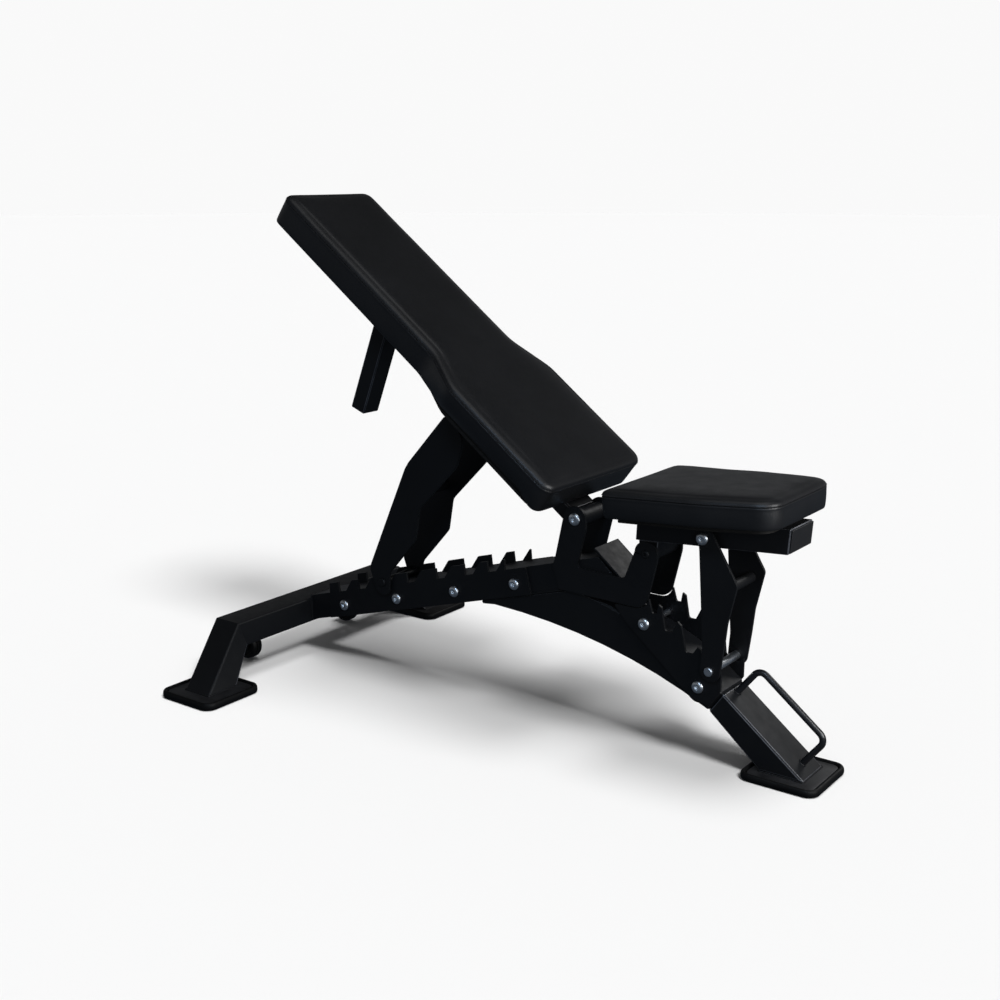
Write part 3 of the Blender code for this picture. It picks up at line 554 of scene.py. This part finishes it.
class Cushion:
    """Padded board: a grid on top, rings down the sides and a grid below, all quads.

    half_outline holds the corners (along, across, radius) of one side, from end to end. The pad's
    own frame is (along, across, depth below the top plane)."""

    def __init__(self, name, node, body, half_outline, thickness, start, angle, counts, lean):
        self.name, self.node, self.body = name, node, body
        self.thickness = thickness
        self.lean = lean
        self.start = start
        self.along = Vector((math.cos(angle), 0, math.sin(angle)))
        self.down = Vector((math.sin(angle), 0, -math.cos(angle)))
        if math.cos(angle) < 0:
            self.down = -self.down
        self.across_count, self.along_count = counts
        self.border(half_outline)

    def border(self, corners):
        """The outline as one loop of evenly spaced points, split at the four corners."""
        half = rounded_outline(corners, math.radians(3))
        low, high = corners[1], corners[-2]
        first = min(range(len(half)), key=lambda i: (half[i] - Vector(low[:2])).length)
        last = min(range(len(half)), key=lambda i: (half[i] - Vector(high[:2])).length)
        flip = [Vector((p.x, -p.y)) for p in half]
        near = flip[:first + 1][::-1] + half[1:first + 1]
        side = half[first:last + 1]
        far = half[last:] + flip[last:-1][::-1]
        other = [Vector((p.x, -p.y)) for p in reversed(side)]
        loop = []
        for part, count in ((near, self.across_count), (side, self.along_count),
                            (far, self.across_count), (other, self.along_count)):
            loop.extend(self.even(part, count)[:-1])
        self.loop = np.array([(p[0], p[1]) for p in loop])
        tangent = np.roll(self.loop, -1, axis=0) - np.roll(self.loop, 1, axis=0)
        tangent /= np.linalg.norm(tangent, axis=1)[:, None]
        outward = np.stack((tangent[:, 1], -tangent[:, 0]), axis=1)
        middle = self.loop.mean(axis=0)
        if ((self.loop - middle) * outward).sum() < 0:
            outward = -outward
        self.outward = outward

    @staticmethod
    def even(points, count):
        array = np.array([(p.x, p.y) for p in points])
        steps = np.linalg.norm(np.diff(array, axis=0), axis=1)
        run = np.concatenate(([0.0], np.cumsum(steps)))
        wanted = np.linspace(0.0, run[-1], count + 1)
        return np.stack([np.interp(wanted, run, array[:, axis]) for axis in (0, 1)], axis=1)

    def grid(self, ring):
        """Coons patch inside a ring: array (along_count + 1, across_count + 1, 2)."""
        n, m = self.across_count, self.along_count
        near = ring[0:n + 1]
        side = ring[n:n + m + 1]
        far = ring[n + m:2 * n + m + 1][::-1]
        other = np.concatenate((ring[2 * n + m:], ring[:1]))[::-1]
        u = np.linspace(0, 1, n + 1)[None, :, None]
        v = np.linspace(0, 1, m + 1)[:, None, None]
        ruled = (1 - v) * near[None] + v * far[None] + (1 - u) * other[:, None] + u * side[:, None]
        corner = ((1 - u) * (1 - v) * near[0] + u * (1 - v) * near[-1]
                  + (1 - u) * v * far[0] + u * v * far[-1])
        return ruled - corner

    def ring_plan(self, inset):
        return self.loop - self.outward * inset

    def build(self, slack):
        """Vertex positions in the pad's frame, drawn slack smaller than the finished cushion."""
        n, m = self.across_count, self.along_count
        lean = np.interp(self.loop[:, 0], *self.lean)[:, None]
        rings = []
        for depth, inset in PAD_RINGS:
            if depth < self.thickness - 0.005:
                share = max(0.0, (depth - WALL_START) / (self.thickness - WALL_START))
                plan = self.ring_plan(inset + slack + lean * share ** 2)
                rings.append(np.column_stack((plan, np.full(len(self.loop), depth + slack))))
        for short, share in ((0.0022, 0.95), (0.0, 1.25)):
            plan = self.ring_plan(slack * share + lean * share)
            rings.append(np.column_stack((plan, np.full(len(self.loop), self.thickness - short))))
        bottom = rings[-1]
        top = self.grid(rings[0][:, :2])
        u = np.linspace(-1, 1, n + 1)[None, :]
        v = np.linspace(-1, 1, m + 1)[:, None]
        crown = (1 - u ** 4) * (1 - v ** 8)
        top = np.dstack((top, slack - CROWN * crown))
        under = np.dstack((self.grid(bottom[:, :2]), np.full((m + 1, n + 1), self.thickness)))
        return top, np.array(rings), under

    def mesh(self, top, rings, under):
        """One closed quad mesh in the part's frame."""
        n, m = self.across_count, self.along_count
        points = []
        faces = []

        def add(array):
            first = len(points)
            points.extend(self.place(array.reshape(-1, 3)))
            return first

        border = ([(0, j) for j in range(n)] + [(i, n) for i in range(m)]
                  + [(m, j) for j in range(n, 0, -1)] + [(i, 0) for i in range(m, 0, -1)])
        top_first = add(top)
        ring_first = [add(ring) for ring in rings[1:-1]]
        under_first = add(under)
        count = len(border)

        def grid_border(first):
            return [first + i * (n + 1) + j for i, j in border]

        loops = [grid_border(top_first)] + [list(range(f, f + count)) for f in ring_first]
        loops.append(grid_border(under_first))
        for first, flip in ((top_first, False), (under_first, True)):
            for i in range(m):
                for j in range(n):
                    a = first + i * (n + 1) + j
                    quad = (a, a + 1, a + n + 2, a + n + 1)
                    faces.append(quad[::-1] if flip else quad)
        for above, below in zip(loops, loops[1:]):
            for index in range(count):
                after = (index + 1) % count
                faces.append((above[after], above[index], below[index], below[after]))
        mesh = bpy.data.meshes.new(self.name)
        mesh.from_pydata(points, [], faces)
        shape = bmesh.new()
        shape.from_mesh(mesh)
        bmesh.ops.recalc_face_normals(shape, faces=shape.faces)
        shape.to_mesh(mesh)
        shape.free()
        mesh.shade_smooth()
        return mesh

    def place(self, local):
        base = np.array(self.start)
        return (base + local[:, :1] * np.array(self.along) + local[:, 2:] * np.array(self.down)
                + local[:, 1:2] * np.array((0.0, 1.0, 0.0)))

    def unplace(self, points):
        offset = points - np.array(self.start)
        return np.column_stack((offset @ np.array(self.along), offset[:, 1],
                                offset @ np.array(self.down)))


def inflate(cushion, top, rings, under):
    """Cloth simulation of the cover, pressed out from inside and held on its board."""
    mesh = cushion.mesh(top, rings, under)
    item = bpy.data.objects.new("cover_being_filled", mesh)
    bpy.context.scene.collection.objects.link(item)
    rest = np.empty(len(mesh.vertices) * 3)
    mesh.vertices.foreach_get("co", rest)
    rest = rest.reshape(-1, 3)
    depth = cushion.unplace(rest)[:, 2]
    group = item.vertex_groups.new(name="held")
    held = depth > cushion.thickness - HELD
    group.add([int(index) for index in np.nonzero(held)[0]], 1.0, "REPLACE")
    modifier = item.modifiers.new("cloth", "CLOTH")
    settings = modifier.settings
    settings.quality = 6
    settings.mass = 0.3
    settings.tension_stiffness = 40.0
    settings.compression_stiffness = 40.0
    settings.shear_stiffness = 20.0
    settings.bending_stiffness = 2.0
    settings.vertex_group_mass = "held"
    settings.use_pressure = True
    settings.uniform_pressure_force = PRESSURE
    settings.effector_weights.gravity = 0.0
    modifier.collision_settings.use_collision = False
    scene = bpy.context.scene
    scene.frame_start, scene.frame_end = 1, CLOTH_FRAMES
    for number in range(1, CLOTH_FRAMES + 1):
        scene.frame_set(number)
    filled = item.evaluated_get(bpy.context.evaluated_depsgraph_get())
    moved = np.empty(len(mesh.vertices) * 3)
    filled.data.vertices.foreach_get("co", moved)
    travel = moved.reshape(-1, 3) - rest
    normals = np.array([vertex.normal[:] for vertex in mesh.vertices])
    edges = np.array([edge.vertices[:] for edge in mesh.edges])
    scene.frame_set(1)
    bpy.data.objects.remove(item)
    # The foam stops the cover from sinking in, and a taut cover evens its own swelling out.
    rise = np.maximum((travel * normals).sum(axis=1), 0.0)
    rise = np.tanh(rise / COVER_SWELL) * COVER_SWELL
    for _ in range(EVENING_ROUNDS):
        total = np.zeros(len(rise))
        count = np.zeros(len(rise))
        for side in (0, 1):
            np.add.at(total, edges[:, side], rise[edges[:, 1 - side]])
            np.add.at(count, edges[:, side], 1.0)
        rise = 0.4 * rise + 0.6 * total / count
    rise[held] = 0.0
    return cushion.unplace(rest + normals * rise[:, None])


def ring_between(rings, spot):
    """Ring at a fractional index, on a smooth curve through the rings."""
    low = int(math.floor(spot))
    share = spot - low
    picks = [rings[min(max(low + shift, 0), len(rings) - 1)] for shift in (-1, 0, 1, 2)]
    a, b, c, d = picks
    return 0.5 * (2 * b + (c - a) * share + (2 * a - 5 * b + 4 * c - d) * share ** 2
                  + (3 * b - a - 3 * c + d) * share ** 3)


# Across the seam: fraction of a ring from it, push outwards. A narrow valley with soft rolls beside it.
SEAM_VALLEY = [(-1.3, 0.0001), (-0.8, 0.0003), (-0.45, 0.0004), (-0.20, -0.0001), (-0.07, -0.0011),
               (0.0, -0.0016), (0.07, -0.0011), (0.20, 0.0), (0.45, 0.0004), (0.80, 0.0003)]
PUCKER = 0.00022               # depth of the small puckers beside the seam
DRIFT = 0.0006                 # slow unevenness of the sitting surface


def filled_cover(cushion):
    """The cover's grid on top, its rings and its grid below, after filling."""
    top, rings, under = cushion.build(COVER_SLACK)
    flat = inflate(cushion, top, rings, under)
    cursor = top.shape[0] * top.shape[1]
    count = len(rings[0])
    top = flat[:cursor].reshape(top.shape)
    for number in range(1, len(rings) - 1):
        rings[number] = flat[cursor:cursor + count]
        cursor += count
    n, m = cushion.across_count, cushion.along_count
    rings[0] = np.concatenate((top[0, :n], top[:m, n], top[m, n:0:-1], top[m:0:-1, 0]))
    return top, rings, under


def make_cushion(cushion):
    top, rings, under = filled_cover(cushion)
    out = np.column_stack((cushion.outward, np.zeros(len(cushion.loop))))
    steps = np.linalg.norm(np.diff(cushion.loop, axis=0), axis=1)
    run = np.concatenate(([0.0], np.cumsum(steps)))
    pucker = np.array([noise.noise(Vector((float(s) * 75.0, 0.0, 3.7))) for s in run])[:, None]
    spots = [(float(number), 0.0) for number in range(SEAM - 1)]
    spots += [(SEAM + shift, push) for shift, push in SEAM_VALLEY]
    spots += [(float(number), 0.0) for number in range(SEAM + 1, len(rings))]
    finer = []
    for spot, push in spots:
        share = max(0.0, 1.0 - abs(spot - SEAM) / 1.6)
        finer.append(ring_between(rings, spot) + out * (push + PUCKER * share * pucker))
    finer[0], finer[-1] = rings[0], rings[-1]
    drift = np.array([[noise.noise(Vector((float(p[0]) * 9.0, float(p[1]) * 11.0, 1.3))) for p in row]
                      for row in top])
    fades = [np.sin(np.linspace(0, math.pi, size)) for size in top.shape[:2]]
    top[..., 2] -= DRIFT * drift * np.sqrt(np.outer(*fades))
    mesh = cushion.mesh(top, np.array(finer), under)
    item = make_piece(cushion.name, mesh, LEATHER, cushion.body, [cushion.node])
    subdivide = item.modifiers.new("finer", "SUBSURF")
    subdivide.levels = subdivide.render_levels = 1
    make_stitches(cushion, ring_between(rings, SEAM - 0.5) + out * 0.00055)


def make_stitches(cushion, ring):
    """A row of thread stitches just above the seam."""
    points = [Vector(p) for p in cushion.place(ring)]
    path = resample(points, 0.0019, closed=True)
    shape = bmesh.new()
    radius, sides = 0.00036, 6
    for index in range(0, len(path) - 3, 3):
        start, end = path[index], path[index + 2]
        along = (end - start).normalized()
        across = along.cross(cushion.down).normalized()
        second = along.cross(across)
        turns = [2 * math.pi * i / sides for i in range(sides)]
        rings = []
        for share, size in ((0.0, 0.35), (0.12, 0.9), (0.5, 1.1), (0.88, 0.9), (1.0, 0.35)):
            centre = start.lerp(end, share)
            circle_points = [centre + (across * math.cos(turn) + second * math.sin(turn)) * radius * size
                             for turn in turns]
            rings.append([shape.verts.new(point) for point in circle_points])
        shape.faces.new(rings[0][::-1])
        shape.faces.new(rings[-1])
        for ring_a, ring_b in zip(rings, rings[1:]):
            for i in range(sides):
                j = (i + 1) % sides
                shape.faces.new((ring_a[i], ring_a[j], ring_b[j], ring_b[i]))
    bmesh.ops.recalc_face_normals(shape, faces=shape.faces)
    mesh = bpy.data.meshes.new(cushion.name + "_stitches")
    shape.to_mesh(mesh)
    shape.free()
    mesh.shade_smooth()
    make_piece(cushion.name + "_stitches", mesh, THREAD, cushion.body)


# ---------------------------------------------------------------- the bench
BACK_ANGLE = math.radians(180.0 - 37.05)
SEAT_TILT = math.radians(3.67)
SPINE_SLOPE = 0.2885
SPINE_REF = (-0.549, 0.249)
BEAM_HALF_WIDTH = 0.040


def on_spine(x, above):
    return (x, SPINE_REF[1] + SPINE_SLOPE * (x - SPINE_REF[0]) + above)


# Half outlines: (along, across, radius), from the pad's lower or rear end.
BACK_HALF = [(0.0, 0.0), (0.0, 0.1575, 0.024), (0.265, 0.1575, 0.06), (0.350, 0.1205, 0.06),
             (0.803, 0.1205, 0.020), (0.803, 0.0)]
SEAT_HALF = [(0.0, 0.0), (0.0, 0.131, 0.016), (0.19, 0.128, 0.2), (0.313, 0.112, 0.038), (0.313, 0.0)]
# How far the sides lean in at the underside: stations along the pad, amounts.
BACK_LEAN = ((0.0, 0.012, 0.050, 0.26, 0.34, 0.803), (0.000, 0.002, 0.016, 0.016, 0.002, 0.001))
SEAT_LEAN = ((0.0, 0.313), (0.003, 0.003))
BACK_THICK = 0.0597
SEAT_THICK = 0.0487


def make_cushions():
    make_cushion(Cushion("back_cushion", "back_pad", "backrest", BACK_HALF, BACK_THICK,
                         at((-0.3940, 0.4710)), BACK_ANGLE, (34, 100), BACK_LEAN))
    make_cushion(Cushion("seat_cushion", "seat_pad", "seat", SEAT_HALF, SEAT_THICK,
                         at((-0.317, 0.477)), SEAT_TILT, (32, 38), SEAT_LEAN))


def press_down(board, angle, skin=0.0015, travel=0.0006):
    """Lower face of a board brought onto the tube that it is screwed to."""
    down = Vector((math.sin(angle), 0, -math.cos(angle)))
    if down.z > 0:
        down = -down
    deepest = max(vertex.co.dot(down) for vertex in board.data.vertices)
    for vertex in board.data.vertices:
        if vertex.co.dot(down) > deepest - skin:
            vertex.co += down * travel


PLATES = ["hub_plate_l", "hub_plate_r", "back_ladder_l", "back_ladder_r", "seat_ladder_l",
          "seat_ladder_r", "back_strut_plate_l", "back_strut_plate_r", "seat_strut_plate_l",
          "seat_strut_plate_r", "wheel_bracket_l", "wheel_bracket_r", "spine_end_plate"]
TUBES = ["spine_tube", "arch_beam", "front_leg_tube", "seat_tube", "back_rail", "rear_cross_tube",
         "rear_leg_l", "rear_leg_r", "back_post", "seat_hinge_lug"]
FLUSH_WITH = {"arch_beam": ["front_leg_tube"], "front_leg_tube": ["arch_beam"],
              "rear_cross_tube": ["rear_leg_l", "rear_leg_r"],
              "rear_leg_l": ["rear_cross_tube"], "rear_leg_r": ["rear_cross_tube"]}


def make_plates_and_tubes():
    for node in PLATES:
        finish_node(node, STEEL, 0.0007)
    for node in TUBES:
        item = finish_node(node, STEEL, 0.0015, 3, FLUSH_WITH.get(node, ()))
        # The tubes' rounded corners take the painted-highlight material.
        item.data.materials.append(EDGE_HIGHLIGHT)
        item.modifiers["edge"].material = 1
    for node, angle in (("back_board", BACK_ANGLE), ("seat_board", SEAT_TILT)):
        press_down(finish_node(node, BOARD), angle)
    finish_node("seat_tube_cap", PLASTIC, 0.0012, 3)


def make_hardware():
    for node in sorted(frame["nodes"]):
        if node.endswith("_bolt") or "_bolt_" in node:
            make_bolt(node)
    make_rod("back_strut_rod", STEEL)
    make_rod("seat_strut_rod", ZINC)
    for node in ("back_strut_tube", "seat_strut_tube"):
        make_rod(node, STEEL, 0.0003)
    make_ring("back_hinge_sleeve", STEEL, 0.0063)
    for side in ("l", "r"):
        make_ring("back_strut_spacer_" + side, ZINC, 0.0053)
        make_wheel("wheel_" + side)
        make_axle("wheel_axle_" + side)


LEG_TOP_START = Vector((-0.1161, 0.1326))   # top face of the front leg, side view
LEG_TOP_END = Vector((0.0385, 0.0108))
HANDLE_NEAR = 0.011            # the handle's ends along the leg's top face
HANDLE_FAR = 0.170
HANDLE_HEIGHT = 0.064
HANDLE_BEND = 0.016
HANDLE_RADIUS = 0.0058


def make_lift_handle():
    """Bent round bar on the front leg, with a weld collar round each end."""
    along = (LEG_TOP_END - LEG_TOP_START).normalized()
    out = Vector((-along.y, along.x))
    foot = 0.0002
    corners = [(HANDLE_NEAR, foot), (HANDLE_NEAR, HANDLE_HEIGHT, HANDLE_BEND),
               (HANDLE_FAR, HANDLE_HEIGHT, HANDLE_BEND), (HANDLE_FAR, foot), (HANDLE_FAR - 0.001, -1.0)]
    route = rounded_outline(corners, math.radians(7))
    route = [point for point in route if point.y > -0.5]
    points = [at(LEG_TOP_START + along * p.x + out * p.y) for p in route]
    mesh = tube_along(points, HANDLE_RADIUS, 24)
    smooth_by_angle(mesh, 40.0)
    make_piece("lift_handle_bar", mesh, POLISHED, "frame", ["lift_handle"])
    for number, spot in enumerate((HANDLE_NEAR, HANDLE_FAR), 1):
        centre = at(LEG_TOP_START + along * spot)
        length_way = at(LEG_TOP_START + along) - at(LEG_TOP_START)
        loop = [centre + (length_way * math.cos(a) + Vector((0, 1, 0)) * math.sin(a)) * 0.0062
                for a in np.linspace(0, 2 * math.pi, 33)]
        weld_bead("handle_weld_" + str(number), loop, 0.0016, "frame")


def rectangle(x_low, x_high, y_half, z, y_middle=0.0):
    return [Vector((x_low, y_middle - y_half, z)), Vector((x_high, y_middle - y_half, z)),
            Vector((x_high, y_middle + y_half, z)), Vector((x_low, y_middle + y_half, z))]


REAR_LEG_HALF_DEPTH = 0.033    # half of the rear leg's section, along and across the bench
REAR_LEG_HALF_WIDTH = 0.0375
REAR_LEG_FOOT_X = -1.074
FRONT_LEG_REAR_X = -0.0440     # rear end of the front leg's foot
SPINE_END_X = -1.0775
ABOVE_PLATE = 0.0003


def make_welds():
    """Beads where the tubes meet the feet, the cross tube and the arch."""
    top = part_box("front_foot_plate")[1].z + ABOVE_PLATE
    x_low = at((FRONT_LEG_REAR_X, 0.0)).x
    x_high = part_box("front_leg_tube")[1].x
    weld_bead("front_leg_weld", rectangle(x_low, x_high, BEAM_HALF_WIDTH, top), 0.0020, "frame", True)
    foot_x = at((REAR_LEG_FOOT_X, 0.0)).x
    for side, sign in (("l", 1), ("r", -1)):
        low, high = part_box("rear_leg_" + side)
        plate_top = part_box("rear_foot_" + side + "_plate")[1].z + ABOVE_PLATE
        outer = max(abs(low.y), abs(high.y))
        loop = rectangle(foot_x - REAR_LEG_HALF_DEPTH, foot_x + REAR_LEG_HALF_DEPTH, REAR_LEG_HALF_WIDTH,
                         plate_top, sign * (outer - REAR_LEG_HALF_WIDTH))
        weld_bead("rear_leg_weld_" + side, loop, 0.0020, "frame", True)
        y = sign * (BEAM_HALF_WIDTH - 0.0002)
        under = [at(on_spine(x, -0.0237), y) for x in (-0.625, -0.560, -0.500, -0.430)]
        weld_bead("arch_weld_" + side, under, 0.0018, "frame")
    section = [at(on_spine(SPINE_END_X, above), y)
               for above, y in ((-0.0235, -BEAM_HALF_WIDTH), (0.030, -BEAM_HALF_WIDTH),
                                (0.030, BEAM_HALF_WIDTH), (-0.0235, BEAM_HALF_WIDTH))]
    weld_bead("spine_weld", section, 0.0020, "frame", True)


# ---------------------------------------------------------------- camera, floor and light
def make_camera():
    camera = bpy.data.cameras.new("camera")
    camera.sensor_width = 36.0
    camera.lens = 48.816
    camera.clip_end = 50.0
    item = bpy.data.objects.new("camera", camera)
    bpy.context.scene.collection.objects.link(item)
    item.location = (0.856 + FRONT_FOOT_X, -2.005, 1.0)
    item.rotation_euler = (math.radians(76.25), 0.0, math.radians(36.26))
    bpy.context.scene.camera = item


def make_floor():
    """Plain pale floor, the same white as the backdrop."""
    shape = bmesh.new()
    bmesh.ops.create_circle(shape, cap_ends=True, segments=96, radius=30.0)
    mesh = bpy.data.meshes.new("floor")
    shape.to_mesh(mesh)
    shape.free()
    item = bpy.data.objects.new("floor", mesh)
    bpy.context.scene.collection.objects.link(item)
    item.location = (0.0, 0.0, -0.0002)
    material = bpy.data.materials.new("floor_paint")
    material.use_nodes = True
    tree = material.node_tree
    tree.nodes.clear()
    output = tree.nodes.new("ShaderNodeOutputMaterial")
    paint = tree.nodes.new("ShaderNodeBsdfDiffuse")
    paint.inputs["Color"].default_value = (0.86, 0.86, 0.86, 1.0)
    tree.links.new(paint.outputs["BSDF"], output.inputs["Surface"])
    mesh.materials.append(material)
    item.visible_glossy = False
    item.visible_diffuse = False
    return item


# Studio round the bench by height of view: 0 straight down, 0.5 the horizon, 1 straight up.
STUDIO = [(0.00, (0.030, 0.036, 0.044)), (0.48, (0.046, 0.058, 0.076)), (0.52, (0.200, 0.204, 0.210)),
          (0.62, (0.160, 0.163, 0.168)), (0.80, (0.030, 0.030, 0.030)), (1.00, (0.020, 0.020, 0.020))]


def make_world():
    """White backdrop for the camera, a dim studio for everything that reflects it."""
    world = bpy.data.worlds.new("studio")
    bpy.context.scene.world = world
    world.use_nodes = True
    tree = world.node_tree
    tree.nodes.clear()
    output = tree.nodes.new("ShaderNodeOutputWorld")
    mix = tree.nodes.new("ShaderNodeMixShader")
    place = tree.nodes.new("ShaderNodeTexCoord")
    split = tree.nodes.new("ShaderNodeSeparateXYZ")
    height = tree.nodes.new("ShaderNodeMapRange")
    height.inputs["From Min"].default_value = -1.0
    ramp = tree.nodes.new("ShaderNodeValToRGB")
    stops = ramp.color_ramp.elements
    while len(stops) < len(STUDIO):
        stops.new(0.5)
    for stop, (position, colour) in zip(stops, STUDIO):
        stop.position = position
        stop.color = (*colour, 1.0)
    dim = tree.nodes.new("ShaderNodeBackground")
    white = tree.nodes.new("ShaderNodeBackground")
    white.inputs["Color"].default_value = (0.95, 0.95, 0.95, 1.0)
    path = tree.nodes.new("ShaderNodeLightPath")
    tree.links.new(place.outputs["Generated"], split.inputs["Vector"])
    tree.links.new(split.outputs["Z"], height.inputs["Value"])
    tree.links.new(height.outputs["Result"], ramp.inputs["Fac"])
    tree.links.new(ramp.outputs["Color"], dim.inputs["Color"])
    tree.links.new(path.outputs["Is Camera Ray"], mix.inputs["Fac"])
    tree.links.new(dim.outputs["Background"], mix.inputs[1])
    tree.links.new(white.outputs["Background"], mix.inputs[2])
    tree.links.new(mix.outputs["Shader"], output.inputs["Surface"])


def make_receivers(floor):
    """What each light falls on, so that floor, cushions and steel can be exposed apart."""
    receivers = {lit: bpy.data.collections.new(lit + "_only") for lit in ("floor", "bench", "steel")}
    receivers["floor"].objects.link(floor)
    left_out = {"bench": ["floor"], "steel": ["floor", "back_cushion", "seat_cushion"]}
    for lit, names in left_out.items():
        for name in names:
            receivers[lit].objects.link(bpy.data.objects[name])
        for entry in receivers[lit].collection_objects:
            entry.light_linking.link_state = "EXCLUDE"
    return receivers


def make_light(name, receivers, place, target, size, power, colour):
    light = bpy.data.lights.new(name, "AREA")
    light.shape = "RECTANGLE"
    light.size, light.size_y = size
    light.energy = power
    light.color = colour
    item = bpy.data.objects.new(name, light)
    bpy.context.scene.collection.objects.link(item)
    item.location = place
    item.rotation_euler = (Vector(target) - Vector(place)).to_track_quat("-Z", "Y").to_euler()
    item.light_linking.receiver_collection = receivers


def make_sun(name, receivers, towards, strength, width):
    """Even light over the whole floor; its width in degrees sets how soft the shadow is."""
    data = bpy.data.lights.new(name, "SUN")
    data.energy = strength
    data.angle = math.radians(width)
    item = bpy.data.objects.new(name, data)
    bpy.context.scene.collection.objects.link(item)
    item.rotation_euler = Vector(towards).to_track_quat("Z", "Y").to_euler()
    item.light_linking.receiver_collection = receivers


WHITE = (1.0, 1.0, 1.0)
MIDDLE = (0.0, 0.0, 0.3)       # what the lamps point at
# Lamps on the bench: name, what they light, place, size, power, colour.
LAMPS = [("overhead", "bench", (0.5, -0.3, 3.0), (2.0, 2.0), 10.0, WHITE),
         ("front", "bench", (1.9, -0.2, 1.0), (0.8, 1.1), 20.0, WHITE),
         ("rim", "steel", (0.9, 2.4, 1.8), (1.2, 0.8), 13.0, WHITE),
         ("corner", "bench", (2.0, -1.5, 0.9), (0.4, 0.8), 5.5, (0.80, 0.90, 1.0)),
         ("edge", "bench", (0.9, -1.7, 2.0), (0.7, 0.4), 11.0, (0.58, 0.76, 1.0))]
# Light on the floor: name, direction, strength, width in degrees.
FLOOR_SUNS = [("floor_around", (0.0, 0.0, 1.0), 0.24, 120.0),
              ("floor_above", (0.06, 0.08, 1.0), 1.42, 22.0),
              ("floor_front", (0.68, -0.24, 0.94), 2.12, 17.0)]


def make_lights(floor):
    receivers = make_receivers(floor)
    for name, lit, place, size, power, colour in LAMPS:
        make_light(name, receivers[lit], place, MIDDLE, size, power, colour)
    for name, towards, strength, width in FLOOR_SUNS:
        make_sun(name, receivers["floor"], towards, strength, width)


make_camera()
make_world()
make_cushions()
make_plates_and_tubes()
make_hardware()
for foot_name in ("front_foot", "rear_foot_l", "rear_foot_r"):
    make_foot(foot_name)
make_lift_handle()
make_welds()
make_lights(make_floor())
bpy.context.scene.view_settings.view_transform = "Standard"
